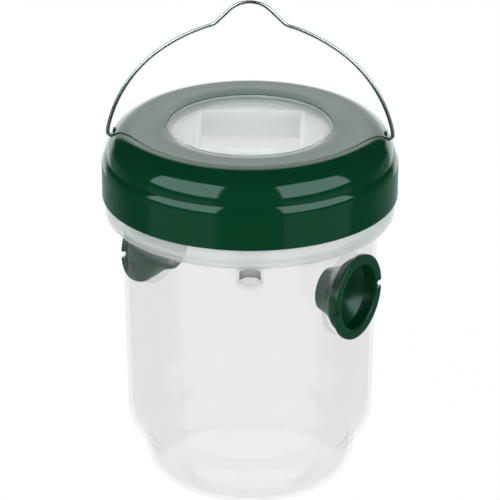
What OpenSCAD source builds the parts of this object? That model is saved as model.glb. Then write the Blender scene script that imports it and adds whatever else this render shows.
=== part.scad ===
// Hanging wasp trap: a clear jar with two side funnels, closed by a domed lid
// ring that clamps a clear insert, and hung from a wire bail.
//
// Millimetres, +Z up. The origin is the centre of the jar's foot. The funnels
// lie along +X and -X.

/* [Jar] */
// Outer radius of the foot of the jar
foot_r = 41.8; // [40:0.2:43]
// Outer radius of the wall just above the rounded shoulder
wall_low_r = 48.6; // [47.6:0.2:49]
// Outer radius of the wall just below the collar
wall_top_r = 50; // [49.4:0.2:50.4]
// Thickness of the moulded wall
wall = 1.6; // [1.4:0.1:1.8]
// Outer radius of the collar that shows below the lid
collar_r = 56.3; // [55.8:0.1:56.6]
// Height where the collar ends and the neck begins
collar_top = 119.5; // [119:0.1:119.6]
// Outer radius of the neck inside the lid
neck_r = 54.2; // [53.8:0.1:54.2]
// Height of the rim of the neck
neck_top = 132.8; // [132.4:0.1:133]

/* [Lid] */
// Height of the lower edge of the lid
lid_z = 119.8; // [119.8:0.1:120.2]
// Outer radius of the lid's skirt
skirt_r = 57.6; // [57.5:0.1:58]
// Radius of the round shoulder
shoulder_r = 13; // [12.6:0.1:13.2]
// Height of the flat crest of the lid
crest_z = 149; // [148.8:0.1:149.4]
// Radius of the opening for the window
window_hole_r = 32.25; // [32:0.05:32.6]
// Thickness of the lid's roof and shoulder
lid_wall = 2; // [1.8:0.1:2]
// Radius of the roll at the top of the skirt
roll_r = 7; // [6.5:0.1:7.2]

/* [Insert] */
// Inside width of the square well under the window
well_w = 39; // [36:0.5:40]
// Width of the flat rim round the well
well_rim_w = 48; // [44:0.5:49]
// Outer radius of the hanging lure tube
tube_r = 5.4; // [5:0.1:6]
// Height of the lower end of the lure tube
tube_z = 81; // [78:0.5:95]

/* [Funnels] */
// Height of the funnels' axis
funnel_z = 87; // [86:0.5:88]
// Outer radius of the funnel's flange
flange_r = 17; // [16.6:0.1:17.2]
// Inner radius of the funnel's mouth
mouth_r = 12.9; // [12.4:0.1:13]
// Inner radius of the funnel's small end
throat_r = 7.2; // [6:0.1:8]
// Distance from the jar's axis to the funnel's small end
throat_x = 35.5; // [34:0.5:37]
// Distance from the jar's axis to the flange's outer face
flange_x = 50.3; // [50.2:0.1:50.6]

/* [Bail] */
// Diameter of the wire
wire_d = 1.5; // [1.3:0.1:1.6]
// Height of the two pivot holes in the lid
pivot_z = 142.9; // [142.5:0.1:143.2]
// Direction of the bail's axis, counted from the funnels' axis
bail_angle = 31; // [20:1:44]
// Radius of the hump at the top of the bail
hump_r = 11; // [10:0.5:12]

/* [Hidden] */
$fn = 96;
eps = 0.01;

clear_tint = [0.90, 0.93, 0.93, 0.35];
pale_tint = [0.84, 0.85, 0.85, 0.75];
green = [0.03, 0.24, 0.14];
steel = [0.72, 0.73, 0.74];

// Jar: the foot's ring and rounding, the step above the foot, the collar.
foot_round = 12;
foot_ring_in = 28;
foot_ring_w = 3;                    // width of the slope inside the ring
foot_draft = 0.2;
base_rise = 2;
step_z = 17.6;                      // corner between the foot and the step
step_top_z = 23.4;                  // where the step's slope would meet the wall
step_round = 12;
collar_z = 111;
collar_round = 2;
edge_round = 0.8;
band_gap = 0.3;                     // air between parts on different bodies

// Bayonet lugs: the jar's and the lid's pass each other, then overlap.
lug_n = 4;
lug_turn = 24;
lug_h = 2;
lug_mid = 127.7;                    // the plane where the two rows meet
lug_bite = 0.4;                     // how far a lug is sunk in its wall
stop_turn = 2.4;                    // stop that ends the locking turn
stop_drop = 1;

// Lid: inner surfaces.
skirt_in = skirt_r - 1.9;
shoulder_in = 1.5;                  // the shoulder is this much inside the skirt
shoulder_c = [skirt_r - shoulder_in - shoulder_r, crest_z - shoulder_r];
roll_tilt = 38;                     // the roll ends here, in the crease under the shoulder
roll_c = [skirt_r - roll_r, shoulder_c[1] + 0.7 - roll_r * sin(roll_tilt)];
hem_round = 0.4;
roof_under = crest_z - lid_wall;
lip_drop = 1.1;
lip_z = crest_z - lip_drop;         // the roof's edge at the opening
lip_w = 7.5;                        // width of the sloping lip
lip_r = (lip_w * lip_w + lip_drop * lip_drop) / (2 * lip_drop);
pivot_hole_r = wire_d / 2 + 0.08;
pivot_boss_r = 3;
pivot_boss_in = 49.6;
pivot_boss_l = 3.4;

// Insert: a plate on the jar's rim, the square well and the tube's socket.
plate_z = neck_top + band_gap;
plate_t = 1.5;
plate_r = skirt_in - 0.5;
lens_r = window_hole_r - 0.35;
lens_top = lip_z - 0.05;
lens_under = lens_top - 1.85;
lens_step = 1.6;                    // the flange reaches this far in under the lens
lens_flange_r = 37.5;
lens_flange_top = roof_under - band_gap;
lens_flange_z = lens_flange_top - 1.6;
well_wall = 1.3;
rim_t = 1.1;
disc_r = lens_flange_r - 1;         // round pale disc that backs the window
disc_t = 0.8;
rim_z = lens_flange_z - 0.4 - rim_t;
socket_r = tube_r + 1.6;
socket_z = 127.5;
tube_in = tube_r - 1.1;
snap_n = 6;
snap_turn = 10;
snap_h = 1.4;

// Funnels: flange, barrel, cone; and the jar's boss that holds them.
flange_t = 1.7;
clear_x = flange_x + 6;             // cuts reach this far out
boss_x = flange_x - flange_t - band_gap;
boss_in = 43;
barrel_r = mouth_r + 1.4;
boss_bore = barrel_r + 0.3;
boss_r = boss_bore + wall;
seat_r = flange_r + 0.4;            // round seat cut into the wall
pad_r = seat_r + 0.8;
pad_in = 2.2;
pad_out = 1.2;
cone_x = 45;                        // the barrel ends and the cone begins
cone_bow = 1.0;                     // how far the cone's side bows inwards
notch_w = 2.8;
notch_depth = 3.2;

// Bail: its run from the top down, as [radius, turn] or [length, 0].
wire_r = wire_d / 2;
joint_gap = 0.04;                   // half the gap that a ball bridges
pivot_bend = 1.2;
bail_run = [[hump_r, 45], [7, 0], [5.3, -27], [67.2, 18], [55, 40], [20, 8], [0.6, 0],
            [pivot_bend, 96]];
bail_end = run_end([0, 0, 0], bail_run);
pin_end = 49;
bail_top = pivot_z - bail_end[1];

// Points of an arc about c, from angle a to angle b.
function arc(c, r, a, b, n = 12) =
    [for (i = [0:n]) c + r * [cos(a + (b - a) * i / n), sin(a + (b - a) * i / n)]];

// One step of a wire's run: p is [across, up, angle below the horizontal].
function step_end(p, s) =
    s[1] == 0 ? [p[0] + s[0] * cos(p[2]), p[1] - s[0] * sin(p[2]), p[2]]
    : let (k = sign(s[1]), q = p[2] + s[1])
      [p[0] + k * s[0] * (sin(q) - sin(p[2])), p[1] + k * s[0] * (cos(q) - cos(p[2])), q];
function run_end(p, run, i = 0) = i == len(run) ? p : run_end(step_end(p, run[i]), run, i + 1);

function unit(v) = v / norm(v);

// The corner b of an outline a, b, c, rounded to radius r with n steps.
function corner(a, b, c, r, n) =
    r == 0 ? [b]
    : let (u = unit(a - b), v = unit(c - b), half = acos(u * v) / 2,
           m = b + unit(u + v) * r / sin(half),
           p = b + u * r / tan(half) - m, q = b + v * r / tan(half) - m,
           start = atan2(p[1], p[0]),
           turn = (atan2(q[1], q[0]) - start + 540) % 360 - 180)
      arc(m, r, start, start + turn, n);

// An outline from corners of [x, z, radius]; the first and last stay sharp.
function rounded(c, n = 3) =
    [for (i = [0:len(c) - 1])
        let (at = [c[i][0], c[i][1]])
        each i == 0 || i == len(c) - 1 ? [at]
             : corner([c[i - 1][0], c[i - 1][1]], at, [c[i + 1][0], c[i + 1][1]], c[i][2], n)];

// Outside of the jar, from the middle of the base up to the collar's top.
jar_outside = [
    [0, base_rise, 0], [foot_ring_in - foot_ring_w, base_rise, 0], [foot_ring_in, 0, 0],
    [foot_r, 0, foot_round], [foot_r - foot_draft, step_z, edge_round],
    [wall_low_r, step_top_z, step_round], [wall_top_r, collar_z, 1.8],
    [collar_r, collar_z + 0.4, collar_round], [collar_r, collar_top, edge_round]];

// Inside of the jar, from the neck's rim down to the middle of the base.
jar_inside = [
    [neck_r - wall, neck_top, 0], [neck_r - wall, collar_top - wall, edge_round],
    [collar_r - wall, collar_top - wall, 0.5], [collar_r - wall, collar_z + 0.4 + wall, 0.9],
    [wall_top_r - wall, collar_z + wall, 2.8],
    [wall_low_r - wall, step_top_z + 0.8, step_round - 1.4],
    [foot_r - foot_draft - wall, step_z + 1, 2], [foot_r - wall, wall, foot_round - wall],
    [foot_ring_in, wall, 0], [foot_ring_in - foot_ring_w, base_rise + wall, 0],
    [0, base_rise + wall, 0]];

// The jar's wall, turned from its section.
module jar_shell() {
    rotate_extrude()
        polygon(rounded(concat(jar_outside,
                               [[neck_r, collar_top, 0], [neck_r, neck_top, 0.5]], jar_inside)));
}

// Everything inside the jar's outside.
module jar_envelope() {
    rotate_extrude()
        polygon(concat(rounded(jar_outside), [[0, collar_top]]));
}

// A cylinder along +X at the height of the funnels, from x0 to x1.
module funnel_rod(r, x0, x1, turn = 0) {
    rotate([0, 0, turn])
        translate([x0, 0, funnel_z])
            rotate([0, 90, 0])
                cylinder(r = r, h = x1 - x0);
}

// A short arc of rib: angle about Z, radii, height.
module rib(at, turn, r0, r1, z0, z1) {
    rotate([0, 0, at - turn / 2])
        rotate_extrude(angle = turn)
            translate([r0, z0])
                square([r1 - r0, z1 - z0]);
}

module jar() {
    color(clear_tint) {
        difference() {
            union() {
                jar_shell();
                for (turn = [0, 180]) {
                    funnel_rod(boss_r, boss_in, boss_x, turn);
                    intersection() {
                        funnel_rod(pad_r, boss_x - pad_in, boss_x + pad_out, turn);
                        jar_envelope();
                    }
                }
            }
            for (turn = [0, 180]) {
                funnel_rod(boss_bore, boss_in - 3, clear_x, turn);
                funnel_rod(seat_r, boss_x, clear_x, turn);
            }
        }
        for (i = [0:lug_n - 1]) {
            at = (i + 0.5) * 360 / lug_n;
            lug_top = lug_mid + band_gap + lug_h;
            rib(at, lug_turn, neck_r - lug_bite, skirt_in - band_gap, lug_mid + band_gap, lug_top);
            rib(at - lug_turn / 2 - stop_turn, stop_turn, neck_r - lug_bite,
                skirt_in - band_gap, lug_mid - lug_h - stop_drop, lug_top);
        }
    }
}

// Solid of revolution of the lid ring: rolled skirt, round shoulder, flat crest,
// sloping lip.
module lid_shell() {
    rotate_extrude()
        polygon(concat(
            [[skirt_in, lid_z], [skirt_r - hem_round, lid_z]],
            [[skirt_r, lid_z + hem_round]],
            arc(roll_c, roll_r, 0, roll_tilt, 6),
            arc(shoulder_c, shoulder_r, 4, 90, 22),
            arc([window_hole_r + lip_w, crest_z - lip_r], lip_r, 90,
                90 + asin(lip_w / lip_r), 6),
            [[window_hole_r, roof_under - 0.2], [shoulder_c[0] - 2, roof_under - 0.2]],
            arc(shoulder_c, shoulder_r - lid_wall, 90, 0, 14),
            [[skirt_in, shoulder_c[1] - 1.2]]));
}

module lid_cover() {
    color(green)
        difference() {
            union() {
                lid_shell();
                for (side = [0, 180])
                    rotate([0, 0, bail_angle + side])
                        translate([pivot_boss_in, 0, pivot_z])
                            rotate([0, 90, 0])
                                cylinder(r = pivot_boss_r, h = pivot_boss_l);
                // bayonet lugs
                for (i = [0:lug_n - 1])
                    rib(i * 360 / lug_n, lug_turn, neck_r + band_gap, skirt_in + lug_bite,
                        lug_mid - lug_h, lug_mid);
                // beads that hold the insert's plate
                for (i = [0:snap_n - 1])
                    rib((i + 0.5) * 360 / snap_n, snap_turn, neck_r + band_gap,
                        skirt_in + lug_bite, plate_z - band_gap - snap_h, plate_z - band_gap);
            }
            rotate([0, 0, bail_angle])
                translate([-skirt_r - 1, 0, pivot_z])
                    rotate([0, 90, 0])
                        cylinder(r = pivot_hole_r, h = 2 * skirt_r + 2);
        }
}

module window_lens() {
    color(clear_tint)
        rotate_extrude()
            polygon([[0, lens_under], [lens_r - lens_step, lens_under],
                     [lens_r - lens_step, lens_flange_z], [lens_flange_r, lens_flange_z],
                     [lens_flange_r, lens_flange_top], [lens_r, lens_flange_top],
                     [lens_r, lens_top - 0.3], [lens_r - 0.3, lens_top], [0, lens_top]]);
}

// A square prism with rounded corners, centred on Z.
module rounded_square(w, r, z0, z1) {
    translate([0, 0, z0])
        linear_extrude(z1 - z0)
            union() {
                square([w - 2 * r, w], center = true);
                square([w, w - 2 * r], center = true);
                for (x = [-1, 1], y = [-1, 1])
                    translate([x, y] * (w / 2 - r))
                        circle(r = r, $fn = 32);
            }
}

module lid_insert() {
    color(pale_tint)
        difference() {
            union() {
                translate([0, 0, plate_z])
                    cylinder(r = plate_r, h = plate_t);
                rotate([0, 0, bail_angle]) {
                    rounded_square(well_w + 2 * well_wall, 2.3, plate_z, lens_under);
                    rounded_square(well_rim_w, 2.6, rim_z, rim_z + rim_t);
                }
                translate([0, 0, rim_z])
                    cylinder(r = disc_r, h = disc_t);
                translate([0, 0, socket_z])
                    cylinder(r = socket_r, h = plate_z - socket_z + eps);
            }
            rotate([0, 0, bail_angle])
                rounded_square(well_w, 1, plate_z + plate_t, lens_under + 1);
            translate([0, 0, socket_z - 1])
                cylinder(r = tube_r + 0.05, h = plate_z - socket_z + 1);
        }
}

module lure_tube() {
    color(clear_tint)
        difference() {
            translate([0, 0, tube_z])
                cylinder(r = tube_r, h = plate_z - tube_z);
            translate([0, 0, tube_z - 1])
                cylinder(r = tube_in, h = plate_z - tube_z + 2);
        }
}

module tube_cap() {
    color(clear_tint) {
        translate([0, 0, tube_z - 1.5])
            cylinder(r = tube_r, h = 1.5);
        translate([0, 0, tube_z - eps])
            cylinder(r = tube_in - 0.05, h = 4);
    }
}

// Draws a wire's run from the origin along +Y: right turns are positive. The
// pieces stop just short of each other, inside a ball a little fatter than the wire.
module wire_run(run, i = 0) {
    if (i < len(run)) {
        size = run[i][0];
        turn = run[i][1];
        side = sign(turn);
        if (turn == 0) {
            translate([0, joint_gap, 0])
                rotate([-90, 0, 0])
                    cylinder(r = wire_r, h = size - 2 * joint_gap);
            translate([0, size, 0])
                wire_joint(run, i + 1);
        } else {
            trim = asin(joint_gap / size);
            translate([side * size, 0, 0])
                rotate([0, 0, (turn > 0 ? 180 - turn : 0) + trim])
                    rotate_extrude(angle = abs(turn) - 2 * trim)
                        translate([size, 0])
                            circle(r = wire_r, $fn = 24);
            translate([side * size, 0, 0])
                rotate([0, 0, -turn])
                    translate([-side * size, 0, 0])
                        wire_joint(run, i + 1);
        }
    }
}

module wire_joint(run, i) {
    if (i < len(run))
        wire_ball();
    wire_run(run, i);
}

module wire_ball() {
    sphere(r = wire_r + 0.03, $fn = 32);
}

module bail_handle() {
    pin = [[bail_end[0] - pin_end, 0]];
    color(steel)
        translate([0, 0, bail_top]) {
            wire_ball();
            for (side = [0, 180])
                rotate([0, 0, bail_angle + side])
                    rotate([90, 0, 0])
                        rotate([0, 0, -90])
                            wire_run(concat(bail_run, pin));
        }
}

// One funnel on +X: notched flange, barrel and a slightly bowed cone.
module funnel() {
    bow_in = [for (i = [0:8]) let (k = i / 8)
              [mouth_r + (throat_r - mouth_r) * k - cone_bow * sin(180 * k),
               cone_x + (throat_x - cone_x) * k]];
    bow_out = [for (i = [8:-1:0]) bow_in[i] + [1.4, 0]];
    difference() {
        translate([0, 0, funnel_z])
            rotate([0, 90, 0])
                rotate_extrude()
                    polygon(concat(
                        [[mouth_r + 0.6, flange_x], [mouth_r, flange_x - 0.6]],
                        bow_in, bow_out,
                        [[barrel_r, flange_x - flange_t], [flange_r, flange_x - flange_t],
                         [flange_r, flange_x - 0.4], [flange_r - 0.4, flange_x]]));
        for (side = [-1, 1])
            translate([flange_x - flange_t / 2, side * flange_r, funnel_z])
                cube([flange_t + 1, 2 * notch_depth, notch_w], center = true);
    }
}

module funnel_right() {
    color(green)
        funnel();
}

module funnel_left() {
    color(green)
        rotate([0, 0, 180])
            funnel();
}

jar();
lid_cover();
window_lens();
lid_insert();
lure_tube();
tube_cap();
bail_handle();
funnel_right();
funnel_left();
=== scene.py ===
"""Looks of the hanging wasp trap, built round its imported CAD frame. Metres, +Z up."""

import math

import bmesh
import bpy
from mathutils import Matrix, Vector


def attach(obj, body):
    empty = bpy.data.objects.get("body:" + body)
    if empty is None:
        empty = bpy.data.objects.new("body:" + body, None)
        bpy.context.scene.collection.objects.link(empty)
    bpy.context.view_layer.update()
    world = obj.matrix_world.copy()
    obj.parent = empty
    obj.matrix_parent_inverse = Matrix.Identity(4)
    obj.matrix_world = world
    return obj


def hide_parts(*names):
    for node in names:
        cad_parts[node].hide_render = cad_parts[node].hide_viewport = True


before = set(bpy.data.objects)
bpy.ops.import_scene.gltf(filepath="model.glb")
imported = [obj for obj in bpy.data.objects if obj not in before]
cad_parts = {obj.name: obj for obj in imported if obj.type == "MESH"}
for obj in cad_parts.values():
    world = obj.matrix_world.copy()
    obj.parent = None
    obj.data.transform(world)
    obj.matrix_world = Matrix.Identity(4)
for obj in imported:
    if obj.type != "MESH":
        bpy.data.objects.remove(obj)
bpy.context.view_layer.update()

MM = 0.001
ROUND = 256  # segments round the trap's axis
SMALL_ROUND = 128  # segments round a funnel or the tube
SHARP_ANGLE = 38  # degrees; sharper edges stay sharp in the shading
WIRE_STEP, WIRE_STRAIGHT_STEP = 0.6, 4  # millimetres between points of the wire's run

# Sizes in millimetres, as in the CAD source; turns and angles in degrees; LUGS and BEADS are counts.
FOOT_R, FOOT_ROUND, FOOT_RING_R = 41.8, 12.0, 28.0
BASE_RISE = 2.0
STEP_Z, STEP_TOP_Z, STEP_ROUND = 17.6, 23.4, 12.0
STEP_R = FOOT_R - 0.2
WALL_LOW_R, WALL_TOP_R, WALL = 48.6, 50.0, 1.6
COLLAR_Z, COLLAR_R, COLLAR_TOP = 111.0, 56.3, 119.5
NECK_R, NECK_TOP = 54.2, 132.8
LUGS, LUG_TURN, LUG_Z, LUG_H = 4, 24.0, 127.7, 2.0
LID_Z, SKIRT_R, SKIRT_IN = 119.8, 57.6, 55.7
SHOULDER_R, CREST_Z, LID_WALL = 13.0, 149.0, 2.0
SHOULDER_SET, HEM_ROUND = 1.5, 0.4
ROLL_R, ROLL_Z, ROLL_TURN = 7.0, 132.39, 38.0
LUG_BITE, BAND_GAP = 0.4, 0.3
STOP_TURN, STOP_DROP = 2.4, 1.0
BEADS, BEAD_TURN, BEAD_H = 6, 10.0, 1.4
RIB_STEPS = 12
WINDOW_R, LIP_DROP, LIP_W = 32.25, 1.1, 7.5
PIVOT_Z, PIVOT_HOLE_R, PIVOT_REACH = 142.9, 0.83, 60
PIVOT_BOSS_R, PIVOT_BOSS_IN, PIVOT_BOSS_L = 3.0, 49.6, 3.4
LENS_R, LENS_TOP, LENS_UNDER = 31.9, 147.85, 146.0
LENS_CORE_R = LENS_R - 1.6
LENS_FLANGE_R, LENS_FLANGE_TOP, LENS_FLANGE_Z = 37.5, 146.7, 145.1
PLATE_Z, PLATE_T, PLATE_R = 133.1, 1.5, 55.2
WELL_W, WELL_WALL, WELL_RIM_W = 39.0, 1.3, 48.0
RIM_Z, RIM_T, DISC_R, DISC_T = 143.6, 1.1, 36.5, 0.8
TUBE_R, TUBE_WALL, TUBE_Z, SOCKET_Z = 5.4, 1.1, 81.0, 127.5
SOCKET_R, PLUG_TOP, PLUG_BOTTOM = TUBE_R + 1.6, TUBE_Z + 4, TUBE_Z - 1.5
FUNNEL_Z = 87.0
FLANGE_R, FLANGE_X, FLANGE_T = 17.0, 50.3, 1.7
MOUTH_R, THROAT_R, THROAT_X, CONE_X = 12.9, 7.2, 35.5, 45.0
BARREL_WALL, CONE_BOW, CONE_STEPS = 1.4, 1.0, 16
NOTCH_W, NOTCH_DEPTH = 2.8, 3.2
BOSS_R, BOSS_BORE, BOSS_IN, BOSS_X = 16.2, 14.6, 43.0, 48.3
SEAT_R = 17.4
WIRE_R, HUMP_R, BAIL_ANGLE = 0.75, 11.0, 31.0
BAIL_RUN = [(HUMP_R, 45), (7, 0), (5.3, -27), (67.2, 18), (55, 40), (20, 8), (0.6, 0), (1.2, 96)]
PIN_END = 49.0

# Camera: distance and heights in millimetres, angles in degrees.
CAM_AZIMUTH, CAM_ELEVATION, CAM_DISTANCE, CAM_LOOK_Z = 33.0, 24.01, 1150.0, 94.75
CAM_LENS, CAM_SENSOR = 210.47, 36.0

# Studio: degrees above the horizon, and degrees round from the camera's side.
ARCH_HALF_WIDTH, ARCH_HEIGHT = 31.0, 59.0
BOX_NEAR, BOX_FAR, BOX_BOTTOM, BOX_TOP = 25.0, 84.0, 10.0, 50.0


# ---------------------------------------------------------------- outlines

def rounded(corners, closed=False, steps=8):
    """Points of an outline whose corners (x, z, radius) are rounded."""
    points = []
    count = len(corners)
    for i, (x, z, radius) in enumerate(corners):
        here = Vector((x, z))
        at_end = not closed and i in (0, count - 1)
        if radius <= 0 or at_end:
            points.append(here)
            continue
        before = (Vector(corners[i - 1][:2]) - here).normalized()
        after = (Vector(corners[(i + 1) % count][:2]) - here).normalized()
        half = before.angle(after) / 2
        centre = here + (before + after).normalized() * radius / math.sin(half)
        first = here + before * radius / math.tan(half) - centre
        turn = first.angle_signed(here + after * radius / math.tan(half) - centre)
        for k in range(steps + 1):
            spin = Matrix.Rotation(-turn * k / steps, 2)
            points.append(centre + spin @ first)
    return points


def spaced(points, longest, closed=False):
    """The same outline with no side longer than longest."""
    out = []
    pairs = list(zip(points, points[1:] + points[:1]))
    if not closed:
        pairs = pairs[:-1]
    for a, b in pairs:
        parts = max(1, math.ceil((b - a).length / longest))
        out += [a.lerp(b, k / parts) for k in range(parts)]
    if not closed:
        out.append(points[-1])
    return out


def arc(centre, radius, start, end, steps):
    """Points of an arc, angles in degrees."""
    turns = [math.radians(start + (end - start) * k / steps) for k in range(steps + 1)]
    return [Vector((centre[0] + radius * math.cos(t), centre[1] + radius * math.sin(t))) for t in turns]


# ---------------------------------------------------------------- meshes

def new_object(name, bm, material):
    """A smooth-shaded object from a bmesh in millimetres."""
    bmesh.ops.remove_doubles(bm, verts=bm.verts, dist=1e-5)
    bmesh.ops.recalc_face_normals(bm, faces=bm.faces)
    bmesh.ops.scale(bm, vec=(MM, MM, MM), verts=bm.verts)
    mesh = bpy.data.meshes.new(name)
    bm.to_mesh(mesh)
    bm.free()
    obj = bpy.data.objects.new(name, mesh)
    bpy.context.scene.collection.objects.link(obj)
    if material:
        mesh.materials.append(material)
    smooth(obj)
    return obj


def smooth(obj):
    """Smooth shading, with edges sharper than SHARP_ANGLE kept."""
    obj.data.shade_smooth()
    obj.data.set_sharp_from_angle(angle=math.radians(SHARP_ANGLE))


def lathe(bm, outline, segments=ROUND, turn=360.0, start=0.0):
    """Turns a closed outline of (radius, height) about Z into a bmesh."""
    whole = turn >= 360
    count = segments if whole else segments + 1
    rings = []
    for k in range(count):
        a = math.radians(start + turn * k / segments)
        rings.append([bm.verts.new((p.x * math.cos(a), p.x * math.sin(a), p.y)) for p in outline])
    size = len(outline)
    for k in range(segments):
        here, there = rings[k], rings[(k + 1) % count]
        for i in range(size):
            j = (i + 1) % size
            corners = [here[i], here[j], there[j], there[i]]
            if outline[i].x < 1e-6 and outline[j].x < 1e-6:
                continue
            if outline[i].x < 1e-6:
                corners = corners[:3]
            elif outline[j].x < 1e-6:
                corners = [here[i], here[j], there[i]]
            bm.faces.new(corners)
    if not whole:
        bm.faces.new(rings[0])
        bm.faces.new(rings[-1])
    return bm


def turned(name, outline, material, segments=ROUND):
    """A closed solid of revolution about Z."""
    return new_object(name, lathe(bmesh.new(), outline, segments), material)


def along_x(obj, side):
    """Turns an object made about Z so that its axis is the funnels' axis, at their height."""
    turn = Matrix.Rotation(math.radians(90), 4, "Y")
    if side < 0:
        turn = Matrix.Rotation(math.radians(180), 4, "Z") @ turn
    obj.data.transform(Matrix.Translation((0, 0, FUNNEL_Z * MM)) @ turn)
    return obj


def combine(obj, other, operation):
    """Applies a boolean with another object, which is used up."""
    other.data.materials.clear()
    other.data.materials.append(obj.data.materials[0])
    modifier = obj.modifiers.new("cut", "BOOLEAN")
    modifier.operation = operation
    modifier.solver = "MANIFOLD"
    modifier.object = other
    bpy.context.view_layer.update()
    graph = bpy.context.evaluated_depsgraph_get()
    mesh = bpy.data.meshes.new_from_object(obj.evaluated_get(graph))
    obj.modifiers.clear()
    old = obj.data
    name = old.name
    obj.data = mesh
    bpy.data.meshes.remove(old)
    mesh.name = name
    bpy.data.objects.remove(other)
    smooth(obj)
    return obj


def cylinder(name, r, z0, z1, segments=SMALL_ROUND):
    """A cylinder about Z from z0 to z1, without a material, for a boolean."""
    outline = [Vector((0, z0)), Vector((r, z0)), Vector((r, z1)), Vector((0, z1))]
    return turned(name, outline, None, segments)


def rod(r, x0, x1, side):
    """A cylinder on the funnels' axis, from x0 to x1."""
    return along_x(cylinder("rod", r, x0, x1), side)


def rounded_square(width, radius):
    """Corner points of a square with round corners, centred on the origin."""
    h = width / 2
    return rounded([(h, -h, radius), (h, h, radius), (-h, h, radius), (-h, -h, radius)], True)


def loft(loops):
    """Skins a list of equal loops of points and closes both ends."""
    bm = bmesh.new()
    rows = [[bm.verts.new(p) for p in loop] for loop in loops]
    for a, b in zip(rows, rows[1:]):
        for i in range(len(a)):
            j = (i + 1) % len(a)
            bm.faces.new((a[i], a[j], b[j], b[i]))
    bm.faces.new(rows[0])
    bm.faces.new(rows[-1])
    return bm


def rib(at, turn, r0, r1, z0, z1):
    """A short arc of rib, its angles in degrees, without a material, for a boolean."""
    outline = rounded([(r0, z0, 0.2), (r1, z0, 0.2), (r1, z1, 0.2), (r0, z1, 0.2)], True, 3)
    return new_object("rib", lathe(bmesh.new(), outline, RIB_STEPS, turn, at - turn / 2), None)


# ---------------------------------------------------------------- materials

class Nodes:
    """A material's node tree with short ways to add and join nodes."""

    def __init__(self, name):
        self.material = bpy.data.materials.new(name)
        self.material.use_nodes = True
        self.tree = self.material.node_tree
        self.tree.nodes.clear()
        self.place = self.add("ShaderNodeTexCoord").outputs["Object"]

    def add(self, kind, **settings):
        node = self.tree.nodes.new(kind)
        for key, value in settings.items():
            setattr(node, key, value)
        return node

    def join(self, source, target):
        self.tree.links.new(source, target)

    def noise(self, scale, detail=2.0, roughness=0.5):
        node = self.add("ShaderNodeTexNoise")
        self.join(self.place, node.inputs["Vector"])
        node.inputs["Scale"].default_value = scale
        node.inputs["Detail"].default_value = detail
        node.inputs["Roughness"].default_value = roughness
        return node.outputs["Fac"]

    def span(self, source, low, high, from_low=0.0, from_high=1.0):
        node = self.add("ShaderNodeMapRange")
        self.join(source, node.inputs["Value"])
        ends = {"From Min": from_low, "From Max": from_high, "To Min": low, "To Max": high}
        for key, value in ends.items():
            node.inputs[key].default_value = value
        return node.outputs["Result"]

    def between(self, source, first, second):
        node = self.add("ShaderNodeMix", data_type="RGBA")
        self.join(source, node.inputs["Factor"])
        node.inputs["A"].default_value = (*first, 1)
        node.inputs["B"].default_value = (*second, 1)
        return node.outputs["Result"]

    def bump(self, source, distance, strength=1.0, before=None):
        node = self.add("ShaderNodeBump")
        self.join(source, node.inputs["Height"])
        node.inputs["Distance"].default_value = distance
        node.inputs["Strength"].default_value = strength
        if before:
            self.join(before, node.inputs["Normal"])
        return node.outputs["Normal"]

    def finish(self, shader):
        self.join(shader, self.add("ShaderNodeOutputMaterial").inputs["Surface"])
        return self.material


def green_plastic(name, rough_low, rough_high):
    """Moulded green plastic, with the faint waviness of a moulding."""
    n = Nodes(name)
    shader = n.add("ShaderNodeBsdfPrincipled")
    colour = n.between(n.noise(45, 3), (0.0019, 0.042, 0.0160), (0.0025, 0.048, 0.0185))
    n.join(colour, shader.inputs["Base Color"])
    n.join(n.span(n.noise(220, 4), rough_low, rough_high), shader.inputs["Roughness"])
    wave = n.bump(n.noise(38, 1), 0.00016, 0.5)
    grain = n.bump(n.noise(2600, 2), 0.000004, 0.5, wave)
    n.join(grain, shader.inputs["Normal"])
    shader.inputs["IOR"].default_value = 1.5
    return n.finish(shader.outputs["BSDF"])


def milk(n, albedo, through):
    """Light scattered by a milky plastic; through is the share that goes on through it."""
    shader = n.add("ShaderNodeMixShader")
    shader.inputs["Fac"].default_value = through
    for kind, socket in (("ShaderNodeBsdfDiffuse", 1), ("ShaderNodeBsdfTranslucent", 2)):
        part = n.add(kind)
        part.inputs["Color"].default_value = (*albedo, 1)
        n.join(part.outputs["BSDF"], shader.inputs[socket])
    return shader.outputs["Shader"]


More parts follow.
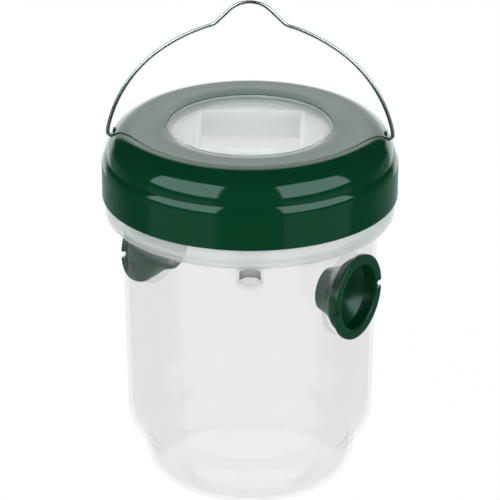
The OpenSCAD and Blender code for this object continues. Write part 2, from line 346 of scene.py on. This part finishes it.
def clear_plastic(name, tint, haze, collar_haze, bend_low, bend_high, frosted_from=None):
    """Clear moulded plastic, a little milky; the thick collar is milkier and bends light more than
    the thin wall. Beyond the radius frosted_from it is frosted."""
    n = Nodes(name)
    glass = n.add("ShaderNodeBsdfPrincipled")
    glass.inputs["Transmission Weight"].default_value = 1.0
    glass.inputs["IOR"].default_value = 1.46
    n.join(n.between(n.noise(30, 2), tuple(c * 0.985 for c in tint), tint), glass.inputs["Base Color"])
    n.join(n.span(n.noise(90, 3), 0.0, 0.04), glass.inputs["Roughness"])
    n.join(n.bump(n.noise(55, 2), 0.00012, 0.5), glass.inputs["Normal"])
    clear = n.add("ShaderNodeBsdfTransparent")
    clear.inputs["Color"].default_value = (*tint, 1)
    parts = n.add("ShaderNodeSeparateXYZ")
    n.join(n.place, parts.inputs["Vector"])
    soft = n.add("ShaderNodeMixShader")
    bend = n.span(parts.outputs["Z"], bend_low, bend_high, (COLLAR_Z - 6) * MM, COLLAR_Z * MM)
    n.join(bend, soft.inputs["Fac"])
    n.join(clear.outputs["BSDF"], soft.inputs[1])
    n.join(glass.outputs["BSDF"], soft.inputs[2])
    hazy = n.add("ShaderNodeMixShader")
    thick = n.span(parts.outputs["Z"], haze, collar_haze, (COLLAR_Z + 0.5) * MM, (COLLAR_Z + 1.8) * MM)
    patchy = n.add("ShaderNodeMath", operation="MULTIPLY")
    n.join(thick, patchy.inputs[0])
    n.join(n.span(n.noise(24, 2), 0.85, 1.15), patchy.inputs[1])
    cloud = patchy.outputs["Value"]
    if frosted_from:
        flat = n.add("ShaderNodeVectorMath", operation="MULTIPLY")
        flat.inputs[1].default_value = (1, 1, 0)
        n.join(n.place, flat.inputs[0])
        reach = n.add("ShaderNodeVectorMath", operation="LENGTH")
        n.join(flat.outputs["Vector"], reach.inputs[0])
        most = n.add("ShaderNodeMath", operation="MAXIMUM")
        n.join(cloud, most.inputs[0])
        frost = n.span(reach.outputs["Value"], 0, 0.9, frosted_from * MM, (frosted_from + 0.4) * MM)
        n.join(frost, most.inputs[1])
        cloud = most.outputs["Value"]
    n.join(cloud, hazy.inputs["Fac"])
    n.join(soft.outputs["Shader"], hazy.inputs[1])
    n.join(milk(n, (0.8, 0.8, 0.8), 0.5), hazy.inputs[2])
    path = n.add("ShaderNodeLightPath")
    lamps = n.add("ShaderNodeMixShader")
    n.join(path.outputs["Is Shadow Ray"], lamps.inputs["Fac"])
    n.join(hazy.outputs["Shader"], lamps.inputs[1])
    n.join(clear.outputs["BSDF"], lamps.inputs[2])
    return n.finish(lamps.outputs["Shader"])


def pale_plastic():
    """Pale milky plastic with a soft shine."""
    n = Nodes("pale_plastic")
    shader = n.add("ShaderNodeBsdfPrincipled")
    n.join(n.between(n.noise(60, 3), (0.72, 0.71, 0.70), (0.78, 0.78, 0.79)), shader.inputs["Base Color"])
    n.join(n.span(n.noise(160, 3), 0.3, 0.42), shader.inputs["Roughness"])
    n.join(n.bump(n.noise(700, 3), 0.00002, 0.6), shader.inputs["Normal"])
    both = n.add("ShaderNodeMixShader")
    both.inputs["Fac"].default_value = 0.85
    n.join(shader.outputs["BSDF"], both.inputs[1])
    n.join(milk(n, (0.98, 0.95, 0.955), 0.8), both.inputs[2])
    return n.finish(both.outputs["Shader"])


def steel_wire():
    """Bright drawn steel wire."""
    n = Nodes("steel_wire")
    shader = n.add("ShaderNodeBsdfPrincipled")
    shader.inputs["Metallic"].default_value = 1.0
    colour = n.between(n.noise(420, 4, 0.6), (0.70, 0.645, 0.655), (0.78, 0.72, 0.73))
    n.join(colour, shader.inputs["Base Color"])
    n.join(n.span(n.noise(800, 4), 0.24, 0.32), shader.inputs["Roughness"])
    n.join(n.bump(n.noise(3000, 3), 0.000002, 0.5), shader.inputs["Normal"])
    return n.finish(shader.outputs["BSDF"])


GREEN = green_plastic("green_plastic", 0.05, 0.10)
SATIN = green_plastic("green_satin", 0.22, 0.30)
CLEAR = clear_plastic("clear_plastic", (0.955, 0.955, 0.955), 0.010, 0.34, 0.05, 0.3)
WINDOW = clear_plastic("window_plastic", (0.988, 0.984, 0.984), 0.08, 0.08, 0.15, 0.15, LENS_R - 0.5)
PALE = pale_plastic()
STEEL = steel_wire()


# ---------------------------------------------------------------- the jar

def jar_outline():
    """The jar's wall in section: up the outside, over the neck's rim and down the inside."""
    outside = [(0, BASE_RISE, 0), (FOOT_RING_R - 3, BASE_RISE, 1.2), (FOOT_RING_R, 0, 1.0),
               (FOOT_R, 0, FOOT_ROUND), (STEP_R, STEP_Z, 0.8), (WALL_LOW_R, STEP_TOP_Z, STEP_ROUND),
               (WALL_TOP_R, COLLAR_Z, 1.8), (COLLAR_R, COLLAR_Z + 0.4, 2.0), (COLLAR_R, COLLAR_TOP, 0.8),
               (NECK_R, COLLAR_TOP, 0.3), (NECK_R, NECK_TOP, 0.5)]
    inside = [(NECK_R - WALL, NECK_TOP, 0.5), (NECK_R - WALL, COLLAR_TOP - WALL, 0.8),
              (COLLAR_R - WALL, COLLAR_TOP - WALL, 0.5), (COLLAR_R - WALL, COLLAR_Z + 0.4 + WALL, 0.9),
              (WALL_TOP_R - WALL, COLLAR_Z + WALL, 2.8),
              (WALL_LOW_R - WALL, STEP_TOP_Z + 0.8, STEP_ROUND - 1.4),
              (STEP_R - WALL, STEP_Z + 1.0, 2.0), (FOOT_R - WALL, WALL, FOOT_ROUND - WALL),
              (FOOT_RING_R, WALL, 1.0), (FOOT_RING_R - 3, BASE_RISE + WALL, 1.2), (0, BASE_RISE + WALL, 0)]
    return spaced(rounded(outside + inside), 2.2)


def jar():
    """The clear jar with its two bosses and the bayonet lugs of its neck."""
    obj = turned("jar_shell", jar_outline(), CLEAR)
    for side in (1, -1):
        combine(obj, rod(BOSS_R, BOSS_IN, BOSS_X, side), "UNION")
    for side in (1, -1):
        combine(obj, rod(BOSS_BORE, BOSS_IN - 3, FLANGE_X + 8, side), "DIFFERENCE")
        combine(obj, rod(SEAT_R, BOSS_X, FLANGE_X + 8, side), "DIFFERENCE")
    lug_r, lug_top = SKIRT_IN - BAND_GAP, LUG_Z + BAND_GAP + LUG_H
    for i in range(LUGS):
        at = (i + 0.5) * 360 / LUGS
        combine(obj, rib(at, LUG_TURN, NECK_R - LUG_BITE, lug_r, LUG_Z + BAND_GAP, lug_top), "UNION")
        combine(obj, rib(at - LUG_TURN / 2 - STOP_TURN, STOP_TURN, NECK_R - LUG_BITE, lug_r,
                         LUG_Z - LUG_H - STOP_DROP, lug_top), "UNION")
    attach(obj, "jar")
    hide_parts("jar")


# ---------------------------------------------------------------- the lid

def lid_outline():
    """The lid ring in section, closed."""
    shoulder = (SKIRT_R - SHOULDER_SET - SHOULDER_R, CREST_Z - SHOULDER_R)
    lip_r = (LIP_W ** 2 + LIP_DROP ** 2) / (2 * LIP_DROP)
    lip_turn = math.degrees(math.asin(LIP_W / lip_r))
    roof_under = CREST_Z - LID_WALL
    points = [Vector((SKIRT_IN, LID_Z)), Vector((SKIRT_R - HEM_ROUND, LID_Z))]
    points += arc((SKIRT_R - HEM_ROUND, LID_Z + HEM_ROUND), HEM_ROUND, -90, 0, 4)[1:]
    points += arc((SKIRT_R - ROLL_R, ROLL_Z), ROLL_R, 0, ROLL_TURN, 20)
    points += arc(shoulder, SHOULDER_R, 1.5, 90, 56)
    points += arc((WINDOW_R + LIP_W, CREST_Z - lip_r), lip_r, 90, 90 + lip_turn, 12)
    points += [Vector((WINDOW_R, roof_under - 0.2)), Vector((shoulder[0] - 2, roof_under - 0.2))]
    points += arc(shoulder, SHOULDER_R - LID_WALL, 90, 0, 24)
    points += [Vector((SKIRT_IN, shoulder[1] - 1.2))]
    return spaced(points, 1.6, True)


def on_bail_axis(turn):
    """Lays a piece made about Z along the bail's axis."""
    lying = Matrix.Rotation(math.radians(90), 4, "Y")
    across = Matrix.Rotation(math.radians(BAIL_ANGLE + turn), 4, "Z")
    return Matrix.Translation((0, 0, PIVOT_Z * MM)) @ across @ lying


def lid():
    """The green lid ring, with its lugs, snap beads and the bosses for the bail's pins."""
    obj = turned("lid_ring", lid_outline(), GREEN)
    for i in range(LUGS):
        combine(obj, rib(i * 360 / LUGS, LUG_TURN, NECK_R + BAND_GAP, SKIRT_IN + LUG_BITE,
                         LUG_Z - LUG_H, LUG_Z), "UNION")
    for i in range(BEADS):
        combine(obj, rib((i + 0.5) * 360 / BEADS, BEAD_TURN, NECK_R + BAND_GAP, SKIRT_IN + LUG_BITE,
                         PLATE_Z - BAND_GAP - BEAD_H, PLATE_Z - BAND_GAP), "UNION")
    for turn in (0, 180):
        boss = cylinder("boss", PIVOT_BOSS_R, PIVOT_BOSS_IN, PIVOT_BOSS_IN + PIVOT_BOSS_L, 48)
        boss.data.transform(on_bail_axis(turn))
        combine(obj, boss, "UNION")
    pins = cylinder("pins", PIVOT_HOLE_R, -PIVOT_REACH, PIVOT_REACH, 32)
    pins.data.transform(on_bail_axis(0))
    combine(obj, pins, "DIFFERENCE")
    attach(obj, "cover")
    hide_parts("lid_cover")


def window():
    """The clear window, with the flange that lies under the lid's roof."""
    outline = rounded([(0, LENS_UNDER, 0), (LENS_CORE_R, LENS_UNDER, 0.3), (LENS_CORE_R, LENS_FLANGE_Z, 0.2),
                       (LENS_FLANGE_R, LENS_FLANGE_Z, 0.3), (LENS_FLANGE_R, LENS_FLANGE_TOP, 0.3),
                       (LENS_R, LENS_FLANGE_TOP, 0.3), (LENS_R, LENS_TOP, 0.35), (0, LENS_TOP, 0)], steps=4)
    obj = turned("window", outline, WINDOW)
    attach(obj, "insert")
    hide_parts("window_lens")


# ---------------------------------------------------------------- the insert

def tray():
    """The pale plate with its square well, its rim, a disc round it and the tube's socket."""
    turn = Matrix.Rotation(math.radians(BAIL_ANGLE), 3, "Z")

    def ring(width, radius, z):
        return [turn @ Vector((p.x, p.y, z)) for p in rounded_square(width, radius)]

    outer = WELL_W + 2 * WELL_WALL
    floor_z = PLATE_Z + PLATE_T
    loops = [ring(outer, 2.3, floor_z - 0.4), ring(outer, 2.3, RIM_Z), ring(WELL_RIM_W - 0.4, 2.4, RIM_Z),
             ring(WELL_RIM_W, 2.6, RIM_Z + 0.2), ring(WELL_RIM_W, 2.6, RIM_Z + RIM_T - 0.2),
             ring(WELL_RIM_W - 0.4, 2.4, RIM_Z + RIM_T), ring(outer + 0.4, 2.5, RIM_Z + RIM_T),
             ring(outer, 2.3, RIM_Z + RIM_T + 0.2), ring(outer, 2.3, LENS_UNDER - 0.3),
             ring(outer - 0.5, 2.1, LENS_UNDER - 0.05), ring(WELL_W + 0.5, 1.25, LENS_UNDER - 0.05),
             ring(WELL_W, 1, LENS_UNDER - 0.4), ring(WELL_W, 1, floor_z + 0.6),
             ring(WELL_W - 0.4, 0.8, floor_z + 0.2), ring(WELL_W - 1.2, 0.5, floor_z)]
    obj = new_object("tray", loft(loops), PALE)
    outline = rounded([(0, PLATE_Z, 0), (PLATE_R, PLATE_Z, 0.3), (PLATE_R, floor_z, 0.5), (0, floor_z, 0)])
    plate = turned("plate", spaced(outline, 6), PALE)
    combine(obj, plate, "UNION")
    outline = rounded([(0, RIM_Z, 0), (DISC_R, RIM_Z, 0.2), (DISC_R, RIM_Z + DISC_T, 0.3),
                       (0, RIM_Z + DISC_T, 0)], steps=4)
    disc = turned("disc", spaced(outline, 6), PALE)
    well_ends = [ring(WELL_W + 1, 1, RIM_Z - 1), ring(WELL_W + 1, 1, LENS_UNDER)]
    well = new_object("well", loft(well_ends), PALE)
    combine(disc, well, "DIFFERENCE")
    combine(obj, disc, "UNION")
    outline = rounded([(0, SOCKET_Z, 0), (SOCKET_R, SOCKET_Z, 0.4), (SOCKET_R, PLATE_Z + 0.5, 0),
                       (0, PLATE_Z + 0.5, 0)])
    combine(obj, turned("socket", outline, PALE, SMALL_ROUND), "UNION")
    combine(obj, cylinder("bore", TUBE_R + 0.05, SOCKET_Z - 1, PLATE_Z), "DIFFERENCE")
    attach(obj, "insert")
    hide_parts("lid_insert")


def tube():
    """The hanging lure tube and the plug that closes it."""
    inner = TUBE_R - TUBE_WALL
    wall = rounded([(inner, TUBE_Z, 0.2), (TUBE_R, TUBE_Z, 0.2), (TUBE_R, PLATE_Z, 0.2),
                    (inner, PLATE_Z, 0.2)], True, 3)
    obj = turned("lure_tube_wall", spaced(wall, 2.5, True), CLEAR, SMALL_ROUND)
    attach(obj, "insert")
    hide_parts("lure_tube")
    plug_r = inner - 0.05
    outline = rounded([(0, PLUG_BOTTOM, 0), (TUBE_R, PLUG_BOTTOM, 0.5), (TUBE_R, TUBE_Z, 0.1),
                       (plug_r, TUBE_Z, 0.1), (plug_r, PLUG_TOP, 0.4), (0, PLUG_TOP, 0)], steps=4)
    plug = turned("tube_plug", outline, CLEAR, SMALL_ROUND)
    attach(plug, "insert")
    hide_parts("tube_cap")


# ---------------------------------------------------------------- funnels

def funnel(side, name, body, node):
    """A notched flange, a short barrel and a slightly bowed cone."""
    cone = []
    for k in range(CONE_STEPS + 1):
        t = k / CONE_STEPS
        cone.append(Vector((MOUTH_R + (THROAT_R - MOUTH_R) * t - CONE_BOW * math.sin(math.pi * t),
                            CONE_X + (THROAT_X - CONE_X) * t)))
    back = [p + Vector((BARREL_WALL, 0)) for p in reversed(cone)]
    barrel_r, under_x = MOUTH_R + BARREL_WALL, FLANGE_X - FLANGE_T
    rim = rounded([(barrel_r, under_x - 1, 0), (barrel_r, under_x, 0.3), (FLANGE_R, under_x, 0.3),
                   (FLANGE_R, FLANGE_X, 0.45), (MOUTH_R, FLANGE_X, 0.6),
                   (MOUTH_R, FLANGE_X - 1.5, 0)], steps=5)
    outline = spaced(cone + back + rim, 1.5, True)
    obj = along_x(turned(name, outline, SATIN, SMALL_ROUND), side)
    for across in (1, -1):
        bm = bmesh.new()
        bmesh.ops.create_cube(bm, size=1)
        bmesh.ops.scale(bm, vec=(FLANGE_T + 1, 2 * NOTCH_DEPTH, NOTCH_W), verts=bm.verts)
        middle = (side * (FLANGE_X - FLANGE_T / 2), across * FLANGE_R, FUNNEL_Z)
        bmesh.ops.translate(bm, vec=middle, verts=bm.verts)
        combine(obj, new_object("notch", bm, None), "DIFFERENCE")
    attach(obj, body)
    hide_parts(node)


# ---------------------------------------------------------------- the bail

def run_points(run):
    """Follows a wire's run of (radius, turn) or (length, 0) from the origin along +X."""
    points = [Vector((0, 0))]
    heading = 0.0
    for size, turn in run:
        length = size * math.radians(abs(turn)) if turn else size
        fewest, longest = (2, WIRE_STEP) if turn else (1, WIRE_STRAIGHT_STEP)
        parts = max(fewest, math.ceil(length / longest))
        for _ in range(parts):
            swing = math.radians(turn) / parts
            heading += swing / 2
            chord = 2 * size * math.sin(abs(swing) / 2) if turn else size / parts
            points.append(points[-1] + chord * Vector((math.cos(heading), -math.sin(heading))))
            heading += swing / 2
    return points


def sweep(path, radius, sides=20):
    """A round tube along a path that lies in the XZ plane."""
    rings = []
    for i, p in enumerate(path):
        ahead = path[min(i + 1, len(path) - 1)] - path[max(i - 1, 0)]
        tangent = ahead.normalized()
        normal = Vector((-tangent.z, 0, tangent.x))
        rings.append([p + radius * (math.cos(t) * normal + math.sin(t) * Vector((0, 1, 0)))
                      for t in (2 * math.pi * k / sides for k in range(sides))])
    return loft(rings)


def bail():
    """The wire bail: a hump for the hook, two long arms, and pins bent into the lid."""
    end = run_points(BAIL_RUN)[-1]
    half = run_points(BAIL_RUN + [(end.x - PIN_END, 0)])
    top = PIVOT_Z - end.y
    right = [Vector((p.x, 0, top + p.y)) for p in half]
    left = [Vector((-p.x, 0, p.z)) for p in reversed(right[1:])]
    obj = new_object("wire_bail", sweep(left + right, WIRE_R), STEEL)
    obj.data.transform(Matrix.Rotation(math.radians(BAIL_ANGLE), 4, "Z"))
    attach(obj, "bail")
    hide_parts("bail_handle")


# ---------------------------------------------------------------- stage

def floor():
    """A plain pale table."""
    bm = bmesh.new()
    bmesh.ops.create_grid(bm, x_segments=8, y_segments=8, size=6000)
    n = Nodes("table")
    glow = n.add("ShaderNodeEmission")
    n.join(n.between(n.noise(3, 2), (0.975, 0.975, 0.975), (0.985, 0.985, 0.985)), glow.inputs["Color"])
    paint = n.add("ShaderNodeBsdfDiffuse")
    paint.inputs["Color"].default_value = (0.025, 0.025, 0.025, 1)
    both = n.add("ShaderNodeAddShader")
    n.join(glow.outputs["Emission"], both.inputs[0])
    n.join(paint.outputs["BSDF"], both.inputs[1])
    obj = new_object("table", bm, n.finish(both.outputs["Shader"]))
    obj.location.z = -0.0001
    obj.visible_glossy = False


class Sky(Nodes):
    """The studio as the world's colour by direction, turned to face the camera."""

    def __init__(self):
        self.world = bpy.data.worlds.new("studio")
        bpy.context.scene.world = self.world
        self.world.use_nodes = True
        self.tree = self.world.node_tree
        self.tree.nodes.clear()
        turn = self.add("ShaderNodeVectorRotate", rotation_type="Z_AXIS")
        turn.inputs["Angle"].default_value = math.radians(-CAM_AZIMUTH)
        self.join(self.add("ShaderNodeTexCoord").outputs["Generated"], turn.inputs["Vector"])
        parts = self.add("ShaderNodeSeparateXYZ")
        self.join(turn.outputs["Vector"], parts.inputs["Vector"])
        self.right, self.away, self.up = parts.outputs
        # degrees above the horizon, and degrees round from the camera's side to its right
        self.height = self.calc("MULTIPLY", self.calc("ARCSINE", self.up), math.degrees(1))
        toward = self.calc("MULTIPLY", self.away, -1.0)
        self.round = self.calc("MULTIPLY", self.calc("ARCTAN2", self.right, toward), math.degrees(1))

    def calc(self, operation, a, b=None):
        node = self.add("ShaderNodeMath", operation=operation)
        for socket, value in zip(node.inputs, (a, b)):
            if value is None:
                continue
            if isinstance(value, (int, float)):
                socket.default_value = value
            else:
                self.join(value, socket)
        return node.outputs["Value"]

    def tinted(self, value, colour):
        """A colour scaled by a value."""
        node = self.add("ShaderNodeVectorMath", operation="SCALE")
        node.inputs[0].default_value = colour
        if isinstance(value, float):
            node.inputs["Scale"].default_value = value
        else:
            self.join(value, node.inputs["Scale"])
        return node.outputs["Vector"]

    def plus(self, a, b):
        """The sum of two colours."""
        node = self.add("ShaderNodeVectorMath", operation="ADD")
        self.join(a, node.inputs[0])
        self.join(b, node.inputs[1])
        return node.outputs["Vector"]

    def band(self, value, low, high, soft):
        """1 between low and high, falling to 0 over soft degrees at each side."""
        rise = self.span(value, 0, 1, low - soft / 2, low + soft / 2)
        fall = self.span(value, 1, 0, high - soft / 2, high + soft / 2)
        return self.calc("MULTIPLY", rise, fall)


def studio():
    """Bright backdrop and table edge behind, two large softboxes in front to the left and right,
    a dim table below, dark elsewhere. All angles are in degrees."""
    s = Sky()
    side = s.calc("ABSOLUTE", s.round)
    away = s.calc("SUBTRACT", 180.0, side)

    # the backdrop, an arch that is brightest above the trap
    arch = s.calc("ADD", s.calc("POWER", s.calc("DIVIDE", away, ARCH_HALF_WIDTH), 3.0),
                  s.calc("POWER", s.calc("DIVIDE", s.calc("MAXIMUM", s.height, 0.0), ARCH_HEIGHT), 3.0))
    backdrop = s.calc("MULTIPLY", s.span(arch, 1, 0, 0.75, 1.25), s.span(s.height, 0, 1, -3, 3))
    backdrop = s.calc("MULTIPLY", backdrop, s.span(s.height, 1.35, 2.4, 18, 30))

    # the bright edge of the table behind
    edge = s.calc("MULTIPLY", s.span(side, 0, 1, 138, 146), s.band(s.height, -18, 4, 5))
    edge = s.calc("MULTIPLY", edge, 1.15)

    # two softboxes, with their upper edges lower at the far ends
    top = s.calc("MULTIPLY", BOX_TOP, s.calc("COSINE", s.calc("MULTIPLY", s.calc("SUBTRACT", side, 38.0),
                                                             math.radians(0.9))))
    across = s.band(side, BOX_NEAR, BOX_FAR, 1.5)
    below_top = s.span(s.calc("SUBTRACT", top, s.height), 0, 1, -0.7, 0.7)
    box = s.calc("MULTIPLY", across, below_top)
    box = s.calc("MULTIPLY", box, s.span(s.height, 0, 1, BOX_BOTTOM - 0.7, BOX_BOTTOM + 0.7))

    # the table as the sides mirror it
    low = s.calc("ADD", s.calc("MULTIPLY", s.band(side, 26, 84, 3), 0.2), s.span(side, 0.02, 0.45, 105, 168))
    low = s.calc("MULTIPLY", low, s.span(s.height, 1, 0, -5, 1))
    low = s.calc("MULTIPLY", low, s.span(side, 0, 1, 10, 26))

    total = s.plus(s.tinted(backdrop, (0.94, 0.98, 0.955)), s.tinted(edge, (1, 1, 1)))
    total = s.plus(total, s.tinted(low, (0.75, 1.15, 1.0)))
    total = s.plus(total, s.tinted(box, (2.1, 3.05, 2.9)))
    light = s.add("ShaderNodeBackground")
    s.join(s.plus(total, s.tinted(1.0, (0.02, 0.02, 0.02))), light.inputs["Color"])
    white = s.add("ShaderNodeBackground")
    white.inputs["Color"].default_value = (1, 1, 1, 1)
    path = s.add("ShaderNodeLightPath")
    straight = s.calc("MAXIMUM", path.outputs["Is Camera Ray"], path.outputs["Is Transmission Ray"])
    mix = s.add("ShaderNodeMixShader")
    s.join(straight, mix.inputs["Fac"])
    s.join(light.outputs["Background"], mix.inputs[1])
    s.join(white.outputs["Background"], mix.inputs[2])
    s.join(mix.outputs["Shader"], s.add("ShaderNodeOutputWorld").inputs["Surface"])


def camera():
    """The camera at the photographed angle."""
    a, e = math.radians(CAM_AZIMUTH), math.radians(CAM_ELEVATION)
    back = Vector((math.sin(a) * math.cos(e), -math.cos(a) * math.cos(e), math.sin(e)))
    data = bpy.data.cameras.new("camera")
    data.sensor_width, data.lens = CAM_SENSOR, CAM_LENS
    data.clip_start, data.clip_end = 0.05, 50
    obj = bpy.data.objects.new("camera", data)
    bpy.context.scene.collection.objects.link(obj)
    obj.location = (Vector((0, 0, CAM_LOOK_Z)) + back * CAM_DISTANCE) * MM
    obj.rotation_mode = "QUATERNION"
    obj.rotation_quaternion = (-back).to_track_quat("-Z", "Y")
    bpy.context.scene.camera = obj


jar()
lid()
window()
tray()
tube()
funnel(1, "funnel_right_moulding", "right_funnel", "funnel_right")
funnel(-1, "funnel_left_moulding", "left_funnel", "funnel_left")
bail()
floor()
studio()
camera()
bpy.context.scene.view_settings.view_transform = "Standard"
